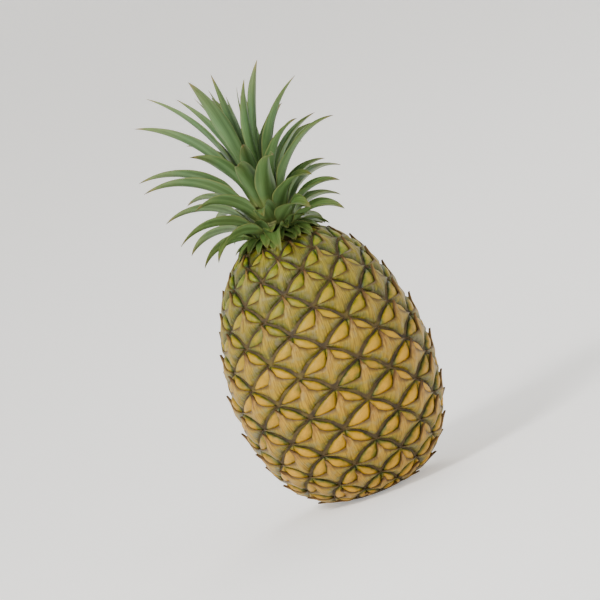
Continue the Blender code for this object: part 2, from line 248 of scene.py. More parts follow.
def settled_mesh(name, shape):
    """A plain mesh of a bmesh, its faces in an order that is the same on every run."""
    shape.verts.index_update()
    faces = []
    for face in shape.faces:
        ring = [corner.index for corner in face.verts]
        first = ring.index(min(ring))
        faces.append(ring[first:] + ring[:first])
    mesh = bpy.data.meshes.new(name)
    mesh.from_pydata([tuple(corner.co) for corner in shape.verts], [], sorted(faces))
    return mesh


def finish_piece(piece, slot, *stands_for):
    """Puts a piece on the fruit's body, in place of the CAD nodes it shows. The slot it is given is not used.
    """
    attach(piece, "root")
    if stands_for:
        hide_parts(*stands_for)


helpers = []


# ---------------------------------------------------------------- the fruit's outline and its eyes

def crest_radius(height):
    """The distance from the axis to the eyes' crests."""
    if height < WIDEST_HEIGHT:
        rim_place = (1.0 - (FOOT_RADIUS / BODY_RADIUS) ** LOWER_FULLNESS) ** (1.0 / LOWER_BEND)
        share = (WIDEST_HEIGHT - height) / WIDEST_HEIGHT * rim_place
        return BODY_RADIUS * (1.0 - share**LOWER_BEND) ** (1.0 / LOWER_FULLNESS)
    rim_place = (1.0 - (CROWN_SEAT_RADIUS / BODY_RADIUS) ** UPPER_FULLNESS) ** (1.0 / UPPER_BEND)
    share = (height - WIDEST_HEIGHT) / (BODY_HEIGHT - WIDEST_HEIGHT) * rim_place
    return BODY_RADIUS * (1.0 - share**UPPER_BEND) ** (1.0 / UPPER_FULLNESS)


def crest_outline():
    """Points up the fruit's front, from the foot's rim to the crown seat's, and the length up to each."""
    points = []
    lengths = []
    for step in range(OUTLINE_STEPS + 1):
        height = BODY_HEIGHT * 0.5 * (1.0 - math.cos(math.pi * step / OUTLINE_STEPS))
        point = Vector((0.0, -crest_radius(height), height))
        lengths.append(lengths[-1] + (point - points[-1]).length if points else 0.0)
        points.append(point)
    return points, lengths


CREST_POINTS, CREST_LENGTHS = crest_outline()
CREST_LENGTH = CREST_LENGTHS[-1]


def relief_share(place):
    """How strongly the eyes stand out at a point of the outline: fully round the middle, less at the rims."""
    to_rim = min(CREST_LENGTHS[place], CREST_LENGTH - CREST_LENGTHS[place])
    rim_share = RIM_RELIEF + (1.0 - RIM_RELIEF) * smooth_step(to_rim / EASED_END)
    return min(1.0, -CREST_POINTS[place].y / FULL_RELIEF_RADIUS) * rim_share


def first_eye_length():
    """How far up the outline the first eye's top corner is."""
    for place, point in enumerate(CREST_POINTS):
        if point.z >= FIRST_EYE_HEIGHT:
            return CREST_LENGTHS[place]


# A corner numbered (i, j) is i steps down to the right and j steps down to the left of the first eye's top.
LEFT_TURN = (TURN - SPIRALS_RIGHT * EYE_LEAN) / (SPIRALS_RIGHT + SPIRALS_LEFT)
RIGHT_TURN = LEFT_TURN + EYE_LEAN
RIGHT_DROP = EYE_PITCH * SPIRALS_LEFT / (SPIRALS_RIGHT + SPIRALS_LEFT)
LEFT_DROP = EYE_PITCH * SPIRALS_RIGHT / (SPIRALS_RIGHT + SPIRALS_LEFT)
BEARING_RULE = (RIGHT_TURN, -LEFT_TURN, FIRST_EYE_BEARING)
LENGTH_RULE = (-RIGHT_DROP, -LEFT_DROP, first_eye_length())


def eye_numbers():
    """The top corner of every eye, with a row of small ones squeezed in at each rim."""
    reach = 2 * int(CREST_LENGTH / EYE_PITCH) + SPIRALS_RIGHT + SPIRALS_LEFT
    for i in range(SPIRALS_RIGHT):
        for j in range(-reach, reach):
            top = LENGTH_RULE[2] - i * RIGHT_DROP - j * LEFT_DROP
            if top < CREST_LENGTH + RIM_OVERHANG * EYE_PITCH and top - EYE_PITCH > -RIM_OVERHANG * EYE_PITCH:
                yield (float(i), float(j), 0.0)


def ease_tree():
    """Draws a distance from a rim out, so that what lies near or past the rim is squeezed in front of it."""
    tree, given = new_tree("ease_to_rim", "Float", Float="Distance, Ease")
    past = add(tree, MATH, {0: given["Distance"], 1: given["Ease"]}, operation="SUBTRACT")
    inside = add(tree, MATH, {0: past, 1: 0.0}, operation="MAXIMUM")
    short = add(tree, MATH, {0: past, 1: 0.0}, operation="MINIMUM")
    power = add(tree, MATH, {0: short, 1: given["Ease"]}, operation="DIVIDE")
    grown = add(tree, MATH, {0: power}, operation="EXPONENT")
    eased = add(tree, MATH, {0: grown, 1: given["Ease"], 2: inside}, operation="MULTIPLY_ADD")
    give(tree, eased)
    return tree


def turned_point_tree():
    """The point at a bearing, a distance up an outline, and a lift off it."""
    tree, given = new_tree("turned_point", "Vector", Geometry="Outline", Float="Bearing, Distance, Lift")
    share = add(tree, NAMED_VALUE, {"Name": "relief"}, data_type="FLOAT")
    found = add(tree, "GeometryNodeSampleCurve",
                {"Curves": given["Outline"], "Value": share, "Length": given["Distance"]}, mode="LENGTH",
                data_type="FLOAT")
    lift = add(tree, MATH, {0: given["Lift"], 1: found}, operation="MULTIPLY")
    outward = add(tree, VECTOR_MATH, {0: (1.0, 0.0, 0.0), 1: found.outputs["Tangent"]},
                  operation="CROSS_PRODUCT")
    raised = add(tree, VECTOR_MATH, {0: outward, "Scale": lift}, operation="SCALE")
    front = add(tree, VECTOR_MATH, {0: found.outputs["Position"], 1: raised}, operation="ADD")
    turned = add(tree, "ShaderNodeVectorRotate", {"Vector": front, "Angle": given["Bearing"]},
                 rotation_type="Z_AXIS")
    on_floor = add(tree, VECTOR_MATH, {0: turned.outputs["Vector"], 1: (-1.0, -1.0, 0.0)},
                   operation="MAXIMUM")
    give(tree, on_floor.outputs["Vector"])
    return tree


def eye_point_tree(ease, turned_point):
    """The point at a place among the eyes: its two spiral numbers, and its lift in shares of the relief."""
    tree, given = new_tree("eye_point", "Vector", Geometry="Outline",
                           Vector="Place, Bearing Rule, Length Rule",
                           Float="Outline Length, Ease, Bow, Relief")
    place = add(tree, SEPARATE, {0: given["Place"]})
    other = add(tree, COMBINE, {"X": place.outputs["Y"], "Y": place.outputs["X"]})
    angles = add(tree, VECTOR_MATH, {0: other, "Scale": math.pi}, operation="SCALE")
    waves = add(tree, VECTOR_MATH, {0: angles}, operation="SINE")
    bulges = add(tree, VECTOR_MATH, {0: waves, 1: waves}, operation="MULTIPLY")
    bowed = add(tree, VECTOR_MATH, {0: bulges, "Scale": given["Bow"]}, operation="SCALE")
    moved = add(tree, VECTOR_MATH, {0: given["Place"], 1: bowed}, operation="SUBTRACT")
    numbers = add(tree, SEPARATE, {0: moved})
    terms = add(tree, COMBINE, {"X": numbers.outputs["X"], "Y": numbers.outputs["Y"], "Z": 1.0})
    bearing = add(tree, VECTOR_MATH, {0: terms, 1: given["Bearing Rule"]}, operation="DOT_PRODUCT")
    length = add(tree, VECTOR_MATH, {0: terms, 1: given["Length Rule"]}, operation="DOT_PRODUCT")
    above_foot = add(tree, GROUP, {"Distance": length.outputs["Value"], "Ease": given["Ease"]},
                     node_tree=ease)
    from_seat = add(tree, MATH, {0: given["Outline Length"], 1: above_foot}, operation="SUBTRACT")
    below_seat = add(tree, GROUP, {"Distance": from_seat, "Ease": given["Ease"]}, node_tree=ease)
    distance = add(tree, MATH, {0: given["Outline Length"], 1: below_seat}, operation="SUBTRACT")
    lift = add(tree, MATH, {0: place.outputs["Z"], 1: given["Relief"]}, operation="MULTIPLY")
    point = add(tree, GROUP,
                {"Outline": given["Outline"], "Bearing": bearing.outputs["Value"], "Distance": distance,
                 "Lift": lift}, node_tree=turned_point)
    give(tree, point)
    return tree


def roughened(tree, geometry, depth, size, seed):
    """Ends a tree's shape with the unevenness of grown skin, then shades it smooth. Gives the geometry."""
    place = add(tree, "GeometryNodeInputPosition")
    grain = add(tree, MATH, {0: 1.0, 1: size}, operation="DIVIDE")
    noise = add(tree, NOISE, {"Vector": place, "W": seed, "Scale": grain, "Detail": 2.0},
                noise_dimensions="4D")
    swing = add(tree, MATH, {0: noise, 1: 0.5}, operation="SUBTRACT")
    height = add(tree, MATH, {0: swing, 1: depth}, operation="MULTIPLY")
    facing = add(tree, "GeometryNodeInputNormal")
    push = add(tree, VECTOR_MATH, {0: facing, "Scale": height}, operation="SCALE")
    pushed = add(tree, PLACE, {"Geometry": geometry, "Offset": push})
    smooth = add(tree, "GeometryNodeSetShadeSmooth", {"Geometry": pushed})
    return smooth


def eye_shells_tree(eye_point):
    """Sets one shell on every eye. Each shell sways and stands up at its tip by chance."""
    tree, given = new_tree("eye_shells", "Geometry", Geometry="Eyes", Object="Outline, Shell",
                           Vector="Bearing Rule, Length Rule",
                           Float="Outline Length, Ease, Bow, Relief, "
                                 "Tip Sway, Tip Lift, Grain Depth, Grain Size", Int="Seed",
                           Material="Material")
    outline = add(tree, "GeometryNodeObjectInfo", {"Object": given["Outline"]})
    curve = add(tree, "GeometryNodeMeshToCurve", {"Mesh": outline.outputs["Geometry"]})
    shell = add(tree, "GeometryNodeObjectInfo", {"Object": given["Shell"]})
    chance = add(tree, "FunctionNodeRandomValue", {"Seed": given["Seed"]}, data_type="FLOAT_VECTOR")
    marked = add(tree, "GeometryNodeStoreNamedAttribute",
                 {"Geometry": given["Eyes"], "Name": "eye_chance", "Value": chance},
                 data_type="FLOAT_VECTOR", domain="POINT")
    set_out = add(tree, "GeometryNodeInstanceOnPoints",
                  {"Points": marked, "Instance": shell.outputs["Geometry"]})
    real = add(tree, "GeometryNodeRealizeInstances", {"Geometry": set_out})

    local = add(tree, NAMED_VALUE, {"Name": "eye_place"}, data_type="FLOAT_VECTOR")
    across = add(tree, SEPARATE, {0: local})
    down = add(tree, MATH, {0: across.outputs["X"], 1: across.outputs["Y"]}, operation="ADD")
    tip = add(tree, MAP_RANGE,
              {"Value": down, "From Min": 0.95, "From Max": 0.05}, interpolation_type="SMOOTHSTEP")
    drawn = add(tree, NAMED_VALUE, {"Name": "eye_chance"}, data_type="FLOAT_VECTOR")
    lots = add(tree, SEPARATE, {0: drawn})
    side = add(tree, MAP_RANGE, {"Value": lots.outputs["X"], "To Min": -1.0, "To Max": 1.0})
    sway = add(tree, MATH, {0: side, 1: given["Tip Sway"]}, operation="MULTIPLY")
    back = add(tree, MATH, {0: sway, 1: -1.0}, operation="MULTIPLY")
    raised = add(tree, MATH, {0: lots.outputs["Y"], 1: given["Tip Lift"]}, operation="MULTIPLY")
    bend = add(tree, COMBINE, {"X": sway, "Y": back, "Z": raised})
    at_tip = add(tree, VECTOR_MATH, {0: bend, "Scale": tip}, operation="SCALE")
    place = add(tree, "GeometryNodeInputPosition")
    bent = add(tree, VECTOR_MATH, {0: place, 1: at_tip}, operation="ADD")
    rules = ("Bearing Rule", "Length Rule", "Outline Length", "Ease", "Bow", "Relief")
    point = add(tree, GROUP, {"Outline": curve, "Place": bent} | {rule: given[rule] for rule in rules},
                node_tree=eye_point)
    laid = add(tree, PLACE, {"Geometry": real, "Position": point})
    outward = add(tree, "GeometryNodeFlipFaces", {"Mesh": laid})
    uneven = roughened(tree, outward, given["Grain Depth"], given["Grain Size"], given["Seed"])
    give_dressed(tree, uneven, given["Material"])
    return tree


def turned_skin_tree(turned_point):
    """A closed skin turned round the axis from an outline, which starts and ends on the axis."""
    tree, given = new_tree("turned_skin", "Geometry", Geometry="Outline",
                           Float="Outline Length, Sink, Grain Depth, Grain Size, Weld",
                           Int="Around, Along, Seed", Material="Material")
    curve = add(tree, "GeometryNodeMeshToCurve", {"Mesh": given["Outline"]})
    net = add(tree, "GeometryNodeMeshGrid",
              {"Size X": 1.0, "Size Y": 1.0, "Vertices X": given["Around"], "Vertices Y": given["Along"]})
    share = add(tree, SEPARATE, {0: net.outputs["UV Map"]})
    bearing = add(tree, MATH, {0: share.outputs["X"], 1: TURN}, operation="MULTIPLY")
    distance = add(tree, MATH, {0: share.outputs["Y"], 1: given["Outline Length"]}, operation="MULTIPLY")
    lift = add(tree, MATH, {0: given["Sink"], 1: -1.0}, operation="MULTIPLY")
    point = add(tree, GROUP, {"Outline": curve, "Bearing": bearing, "Distance": distance, "Lift": lift},
                node_tree=turned_point)
    turned = add(tree, PLACE, {"Geometry": net, "Position": point})
    welded = add(tree, "GeometryNodeMergeByDistance", {"Geometry": turned, "Distance": given["Weld"]})
    uneven = roughened(tree, welded, given["Grain Depth"], given["Grain Size"], given["Seed"])
    give_dressed(tree, uneven, given["Material"])
    return tree


# ---------------------------------------------------------------- shells of one eye

class ShellDrawing:
    """Draws a shell of one eye as points (i, j, lift) and faces, i and j running from its top corner to 1."""

    def __init__(self):
        self.points = []
        self.faces = []

    def point(self, down, across, lift):
        """down is 0 at the eye's top and 1 at its bottom, and across is -1 to 1 from corner to corner."""
        self.points.append((down + 0.5 * across, down - 0.5 * across, lift))
        return len(self.points) - 1

    def rows(self, rows):
        """Faces between rows of points. Neighbours that are one point make a triangle."""
        for upper, lower in zip(rows, rows[1:]):
            for place in range(len(upper) - 1):
                ring = (upper[place], lower[place], lower[place + 1], upper[place + 1])
                corners = tuple(dict.fromkeys(ring))
                if len(corners) > 2:
                    self.faces.append(corners)

    def closed(self, name, skirt, tip_thickness=None):
        """Drops a skirt from the border, to a share of the relief, and closes it underneath.

        With a tip thickness the shell stays thin under its tip, and gets thicker down the eye."""
        drawn = bpy.data.meshes.new(name)
        drawn.from_pydata(self.points, [], self.faces)
        shell = bmesh.new()
        shell.from_mesh(drawn)
        bpy.data.meshes.remove(drawn)
        insides = [0.0 if corner.is_boundary else 1.0 for corner in shell.verts]
        rim = [edge for edge in shell.edges if edge.is_boundary]
        dropped = bmesh.ops.extrude_edge_only(shell, edges=rim)["geom"]
        for corner in [item for item in dropped if isinstance(item, bmesh.types.BMVert)]:
            depth = 10.0 if tip_thickness is None else tip_thickness + 0.6 * (corner.co.x + corner.co.y)
            corner.co.z = min(corner.co.z, max(skirt, corner.co.z - depth))
        edges = [item for item in dropped if isinstance(item, bmesh.types.BMEdge) and item.is_boundary]
        bmesh.ops.contextual_create(shell, geom=edges)
        bmesh.ops.recalc_face_normals(shell, faces=shell.faces)
        mesh = settled_mesh(name, shell)
        shell.free()
        insides.extend([0.0] * (len(mesh.vertices) - len(insides)))
        mesh.attributes.new("inside", "FLOAT", "POINT").data.foreach_set("value", insides)
        layer = mesh.attributes.new("eye_place", "FLOAT_VECTOR", "POINT")
        layer.data.foreach_set("vector", [number for corner in mesh.vertices for number in corner.co])
        return mesh


def sepal_shell():
    """The two sepals that fill an eye's upper half. The bract's spike bends over the left-hand one's edge."""
    drawing = ShellDrawing()
    # Across a sepal from the middle of the eye out: share of its width, and its skin's fall from the crest
    shape = ((0.0, 0.55), (0.18, 0.24), (0.46, 0.0), (0.74, 0.10), (0.92, 0.42), (1.0, 1.0))
    # Down each sepal, left and right: the place, and the height of its crest
    sides = {
        -1.0: ((0.045, -0.80), (0.13, -0.42), (0.24, -0.18), (0.36, -0.06), (0.47, -0.16), (0.56, -0.45)),
        1.0: ((0.045, -0.80), (0.11, -0.42), (0.19, -0.18), (0.28, -0.06), (0.37, -0.12), (0.49, -0.32)),
    }
    for hand, crests in sides.items():
        rows = []
        for down, crest in crests:
            outer = 2.0 * (down - 0.028) if down < 0.5 else 2.0 * (0.965 - down)
            rows.append([drawing.point(down, hand * share * outer, crest - fall * (1.0 + crest))
                         for share, fall in shape])
        drawing.rows(rows)
    return drawing.closed("sepal_shell", -1.12)


def bract_shell():
    """The star-shaped bract: a broad blade over the eye's lower half, and a thin spike up to its top."""
    drawing = ShellDrawing()
    # The blade's upper margin, as (across, down). The spike grows from the five places in the middle.
    margin = ((-0.95, 0.487), (-0.75, 0.500), (-0.54, 0.515), (-0.34, 0.525), (-0.13, 0.515),
              (-0.05, 0.470), (0.03, 0.430), (0.11, 0.395), (0.18, 0.360), (0.31, 0.410), (0.44, 0.450),
              (0.70, 0.475), (0.95, 0.487))
    spike_root = slice(4, 9)
    blade = []
    for level in (0.0, 0.40, 0.76, 1.0):
        row = []
        for across, upper in margin:
            reach = abs(across)
            lower = min(0.935, 0.968 - 0.5 * reach)
            keel = 0.10 * max(0.0, 1.0 - abs(across - 0.03) / 0.30)
            crest = keel - 0.02 - 0.38 * reach**2.2
            fall = (1.05 + crest) * max(0.0, (level - 0.2) / 0.8) ** 2.6
            row.append(drawing.point(upper + (lower - upper) * level, across, crest - fall))
        blade.append(row)
    drawing.rows(blade)
    # The spike from its tip down: its left and right edges as (across, down), and its lift
    edges = (((-0.006, 0.055), (0.012, 0.055), 0.34), ((-0.012, 0.13), (0.05, 0.12), 0.22),
             ((-0.018, 0.23), (0.09, 0.20), 0.13), ((-0.03, 0.36), (0.15, 0.29), 0.06))
    spike = []
    for left, right, lift in edges:
        row = []
        for share in (0.0, 0.25, 0.5, 0.75, 1.0):
            across, down = (a + (b - a) * share for a, b in zip(left, right))
            row.append(drawing.point(down, across, lift - 0.13 * (2.0 * share - 1.0) ** 2))
        spike.append(row)
    drawing.rows(spike + [blade[0][spike_root]])
    return drawing.closed("bract_shell", -0.55, tip_thickness=0.2)


# ---------------------------------------------------------------- the fruit

def skin_outline():
    """The rind's whole outline: the stalk's pocket, the foot, the body and the crown seat."""
    flat_steps = 12
    pocket_radius = STALK_RADIUS + FIT_GAP
    pocket_top = STALK_LENGTH + FIT_GAP
    corners = [Vector((0.0, 0.0, pocket_top)), Vector((0.0, -pocket_radius, pocket_top)),
               Vector((0.0, -pocket_radius, 0.0)), Vector((0.0, -FOOT_RADIUS, 0.0))]
    points = []
    for start, end in zip(corners, corners[1:]):
        points.extend(start.lerp(end, step / flat_steps) for step in range(flat_steps))
    shares = [0.0] * len(points)
    for place, point in enumerate(CREST_POINTS):
        points.append(point)
        shares.append(relief_share(place) * smooth_step(4.0 * CREST_LENGTHS[place] / EASED_END))
    seat_middle = Vector((0.0, 0.0, BODY_HEIGHT))
    points.extend(CREST_POINTS[-1].lerp(seat_middle, (step + 1) / flat_steps) for step in range(flat_steps))
    shares.extend([0.0] * flat_steps)
    return points, shares


def chain_length(points):
    """The length of straight runs through the points."""
    return sum((b - a).length for a, b in zip(points, points[1:]))


def make_fruit(turned_skin, eye_shells):
    """The corky skin that shows between the eyes, and each eye's sepals and bract laid over it."""
    points, shares = skin_outline()
    rind = grow("rind", line_mesh("skin_outline", points, {"relief": shares}), turned_skin, {
        "Outline Length": chain_length(points), "Around": 241, "Along": 181,
        "Sink": GROOVE_DEPTH * EYE_RELIEF, "Grain Depth": 0.5 * MM, "Grain Size": 4.0 * MM, "Seed": 3,
        "Weld": WELD, "Material": rind_material()})
    finish_piece(rind, "rind", "fruit")

    shares = [relief_share(place) for place in range(len(CREST_POINTS))]
    outline = helper_object("crest_outline", line_mesh("crest_outline", CREST_POINTS, {"relief": shares}))
    eyes = bpy.data.meshes.new("eyes")
    eyes.from_pydata(list(eye_numbers()), [], [])
    sizes = {"Outline": outline, "Bearing Rule": BEARING_RULE, "Length Rule": LENGTH_RULE,
             "Outline Length": CREST_LENGTH, "Ease": EASED_END, "Bow": EYE_BOW, "Relief": EYE_RELIEF,
             "Seed": 11}
    sepals = grow("eye_sepals", eyes.copy(), eye_shells, sizes | {
        "Shell": helper_object("sepal_shell", sepal_shell()), "Tip Sway": 0.0, "Tip Lift": 0.0,
        "Grain Depth": 0.55 * MM, "Grain Size": 5.0 * MM, "Material": sepal_material()})
    finish_piece(sepals, "rind")
    bracts = grow("eye_bracts", eyes.copy(), eye_shells, sizes | {
        "Shell": helper_object("bract_shell", bract_shell()), "Tip Sway": 0.05, "Tip Lift": 0.42,
        "Grain Depth": 0.6 * MM, "Grain Size": 5.0 * MM, "Material": bract_material()})
    finish_piece(bracts, "rind")


# ---------------------------------------------------------------- the crown

def stem_radius(height):
    """The crown stem's radius at a height."""
    share = (height - STEM_FOOT) / (STEM_TIP - STEM_FOOT)
    return STEM_BASE_RADIUS + (STEM_TIP_RADIUS - STEM_BASE_RADIUS) * min(1.0, max(0.0, share))


class CrownLeaf:
    """One leaf of the crown: its middle line, and its width, fold and roll along that line."""

    STEPS = 48

    def __init__(self, number):
        turn, length_factor, lift = LEAF_HABITS.get(number, (0, 1.0, 0))
        place = (number + 0.5) / LEAF_COUNT
        self.bearing = LEAF_FIRST_BEARING + number * GOLDEN_ANGLE + math.radians(turn)
        self.length = length_factor * self.usual_length(place)
        inner = max(0.0, (place - 0.50) / 0.50)
        arch = LEAF_ARCH + (INNER_LEAF_ARCH - LEAF_ARCH) * inner**1.2
        rise = OUTER_LEAF_RISE + (INNER_LEAF_RISE - OUTER_LEAF_RISE) * place**0.95 + lift
        self.arch = math.radians(arch)
        self.start_rise = math.radians(rise + arch / 2.3)
        young = smooth_step((place - 0.66) / 0.34)
        self.width = LEAF_WIDTH + (INNER_LEAF_WIDTH - LEAF_WIDTH) * young
        self.thickness = LEAF_THICKNESS + (INNER_LEAF_THICKNESS - LEAF_THICKNESS) * young
        self.age = 1.0 - place
        twist, width_factor = LEAF_BLADES.get(number, (0, 1.0))
        self.roll = LEAF_ROLL + math.radians(twist)
        self.width *= width_factor
        row_foot = BODY_HEIGHT + LEAF_ROW_START
        height = row_foot + (STEM_TIP - LEAF_ROW_END - row_foot) * place
        half_across = 0.5 * self.thickness / max(0.35, math.sin(self.start_rise))
        self.path = self.follow(stem_radius(height) + FIT_GAP + half_across, height)

    def usual_length(self, place):
        """A leaf's length at its place from the outermost, 0, to the innermost, 1."""
        if place < LONGEST_LEAF_PLACE:
            grown = math.sin(0.5 * math.pi * place / LONGEST_LEAF_PLACE) ** 1.2
            return OUTER_LEAF_LENGTH + (LONGEST_LEAF_LENGTH - OUTER_LEAF_LENGTH) * grown
        shrunk = ((place - LONGEST_LEAF_PLACE) / (1.0 - LONGEST_LEAF_PLACE)) ** 2
        return LONGEST_LEAF_LENGTH + (INNER_LEAF_LENGTH - LONGEST_LEAF_LENGTH) * shrunk

    def follow(self, distance, height):
        """Distances from the axis and heights, at even steps along the leaf."""
        path = [(distance, height)]
        step = self.length / self.STEPS
        for count in range(self.STEPS):
            rise = self.start_rise - self.arch * ((count + 0.5) / self.STEPS) ** 1.3
            distance += step * math.cos(rise)
            height += step * math.sin(rise)
            path.append((distance, height))
        return path

    def half_width(self, step):
        """It swells from the base, runs even and tapers to the tip, and has room beside its neighbours."""
        share = step / self.STEPS
        swell = LEAF_BASE_SHARE + (1.0 - LEAF_BASE_SHARE) * smooth_step(share / 0.30)
        taper = max(0.0, 1.0 - share**2.2) ** 0.9
        return 0.5 * min(CROWDED_LEAF_WIDTH * self.path[step][0], self.width * swell) * taper

    def section(self, step):
        """Half the width, the fold and the roll."""
        share = step / self.STEPS
        clasp = math.asin(min(0.42, 0.4 * self.half_width(0) / self.path[0][0]))
        fold = clasp + (LEAF_FOLD - clasp) * smooth_step((share - 0.04) / 0.30)
        return (self.half_width(step), fold, self.roll * smooth_step((share - 0.04) / 0.60))

    def line(self, name):
        """The middle line as a mesh for the blade's tree."""
        out = Vector((math.sin(self.bearing), -math.cos(self.bearing), 0.0))
        points = [out * distance + Vector((0.0, 0.0, height)) for distance, height in self.path]
        return line_mesh(name, points, {"section": [self.section(step) for step in range(self.STEPS + 1)]})


def leaf_blade_tree():
    """Sweeps a leaf's channelled, thin-edged section along its middle line, with a wavy margin."""
    tree, given = new_tree("leaf_blade", "Geometry", Geometry="Middle Line",
                           Float="Length, Thickness, Wave, Wave Length, Age, Weld", Vector="Side",
                           Int="Around, Along, Seed", Material="Material")
    curve = add(tree, "GeometryNodeMeshToCurve", {"Mesh": given["Middle Line"]})
    net = add(tree, "GeometryNodeMeshGrid",
              {"Size X": 1.0, "Size Y": 1.0, "Vertices X": given["Around"], "Vertices Y": given["Along"]})
    share = add(tree, SEPARATE, {0: net.outputs["UV Map"]})
    section = add(tree, NAMED_VALUE, {"Name": "section"}, data_type="FLOAT_VECTOR")
    found = add(tree, "GeometryNodeSampleCurve",
                {"Curves": curve, "Value": section, "Factor": share.outputs["Y"]}, mode="FACTOR",
                data_type="FLOAT_VECTOR")
    measures = add(tree, SEPARATE, {0: found})
    half, fold, roll = measures.outputs

    angle = add(tree, MATH, {0: share.outputs["X"], 1: TURN}, operation="MULTIPLY")
    across = add(tree, MATH, {0: angle}, operation="COSINE")
    face = add(tree, MATH, {0: angle}, operation="SINE")
    reach = add(tree, MATH, {0: across}, operation="ABSOLUTE")
    curl = add(tree, MATH, {0: reach, 1: 1.6}, operation="POWER")
    spread = add(tree, MATH, {0: fold}, operation="COSINE")
    hollow = add(tree, MATH, {0: fold}, operation="SINE")
    sideways = add(tree, MATH, {0: across, 1: spread}, operation="MULTIPLY")
    upward = add(tree, MATH, {0: curl, 1: hollow}, operation="MULTIPLY")
    sideways = add(tree, MATH, {0: sideways, 1: half}, operation="MULTIPLY")
    upward = add(tree, MATH, {0: upward, 1: half}, operation="MULTIPLY")

    # The margin waves gently, and more the nearer to it
    along = add(tree, MATH, {0: share.outputs["Y"], 1: given["Length"]}, operation="MULTIPLY")
    ripple_place = add(tree, MATH, {0: along, 1: given["Wave Length"]}, operation="DIVIDE")
    ripple_at = add(tree, COMBINE, {"X": ripple_place, "Y": across})
    ripple = add(tree, NOISE, {"Vector": ripple_at, "W": given["Seed"], "Scale": 1.0, "Detail": 1.0},
                 noise_dimensions="4D")
    swing = add(tree, MATH, {0: ripple, 1: 0.5}, operation="SUBTRACT")
    edge_only = add(tree, MATH, {0: swing, 1: curl}, operation="MULTIPLY")
    narrow = add(tree, MATH, {0: half, 1: 0.5 * LEAF_WIDTH}, operation="DIVIDE")
    near_tip = add(tree, MATH, {0: edge_only, 1: narrow}, operation="MULTIPLY")
    waved = add(tree, MATH, {0: near_tip, 1: given["Wave"], 2: upward}, operation="MULTIPLY_ADD")

    # The blade is thickest along its middle, and its base and tip close to an edge and a point
    closing = add(tree, MAP_RANGE, {"Value": share.outputs["Y"], "From Max": 0.03, "To Max": 0.5})
    slimming = add(tree, MAP_RANGE,
                   {"Value": share.outputs["Y"], "From Min": 0.55, "To Min": 1.0, "To Max": 0.25})
    slimmed = add(tree, MATH, {0: closing, 1: slimming}, operation="MULTIPLY")
    body = add(tree, MATH, {0: slimmed, 1: given["Thickness"]}, operation="MULTIPLY")
    raised = add(tree, MATH, {0: face, 1: body, 2: waved}, operation="MULTIPLY_ADD")

    rolled = add(tree, "ShaderNodeVectorRotate",
                 {"Vector": given["Side"], "Axis": found.outputs["Tangent"], "Angle": roll},
                 rotation_type="AXIS_ANGLE")
    inner_face = add(tree, VECTOR_MATH, {0: found.outputs["Tangent"], 1: rolled.outputs["Vector"]},
                     operation="CROSS_PRODUCT")
    to_side = add(tree, VECTOR_MATH, {0: rolled.outputs["Vector"], "Scale": sideways}, operation="SCALE")
    to_face = add(tree, VECTOR_MATH, {0: inner_face, "Scale": raised}, operation="SCALE")
    beside = add(tree, VECTOR_MATH, {0: found.outputs["Position"], 1: to_side}, operation="ADD")
    point = add(tree, VECTOR_MATH, {0: beside, 1: to_face}, operation="ADD")
    swept = add(tree, PLACE, {"Geometry": net, "Position": point})

    # What the finish follows: how far across and along, and which face of the blade
    width_place = add(tree, MATH, {0: across, 1: half}, operation="MULTIPLY")
    place = add(tree, COMBINE, {"X": width_place, "Y": along, "Z": face})
    shares = add(tree, COMBINE, {"X": across, "Y": share.outputs["Y"], "Z": given["Age"]})
    marked = add(tree, "GeometryNodeStoreNamedAttribute",
                 {"Geometry": swept, "Name": "blade_place", "Value": place}, data_type="FLOAT_VECTOR",
                 domain="POINT")
    marked = add(tree, "GeometryNodeStoreNamedAttribute",
                 {"Geometry": marked, "Name": "blade_share", "Value": shares}, data_type="FLOAT_VECTOR",
                 domain="POINT")
    welded = add(tree, "GeometryNodeMergeByDistance", {"Geometry": marked, "Distance": given["Weld"]})
    smooth = add(tree, "GeometryNodeSetShadeSmooth", {"Geometry": welded})
    give_dressed(tree, smooth, given["Material"])
    return tree


def make_crown_leaves(blade, green):
    """The crown's leaves, from the lowest and outermost to the innermost."""
    for number in range(LEAF_COUNT):
        leaf = CrownLeaf(number)
        side = (math.cos(leaf.bearing), math.sin(leaf.bearing), 0.0)
        piece = grow(f"leaf_{number + 1:02d}", leaf.line("middle_line"), blade, {
            "Length": leaf.length, "Thickness": leaf.thickness, "Side": side, "Wave": 1.4 * MM,
            "Wave Length": 16.0 * MM, "Around": 25, "Along": 41, "Age": leaf.age, "Seed": number,
            "Weld": WELD, "Material": green})
        finish_piece(piece, "crown_leaf", f"crown_leaf_{number + 1:02d}")


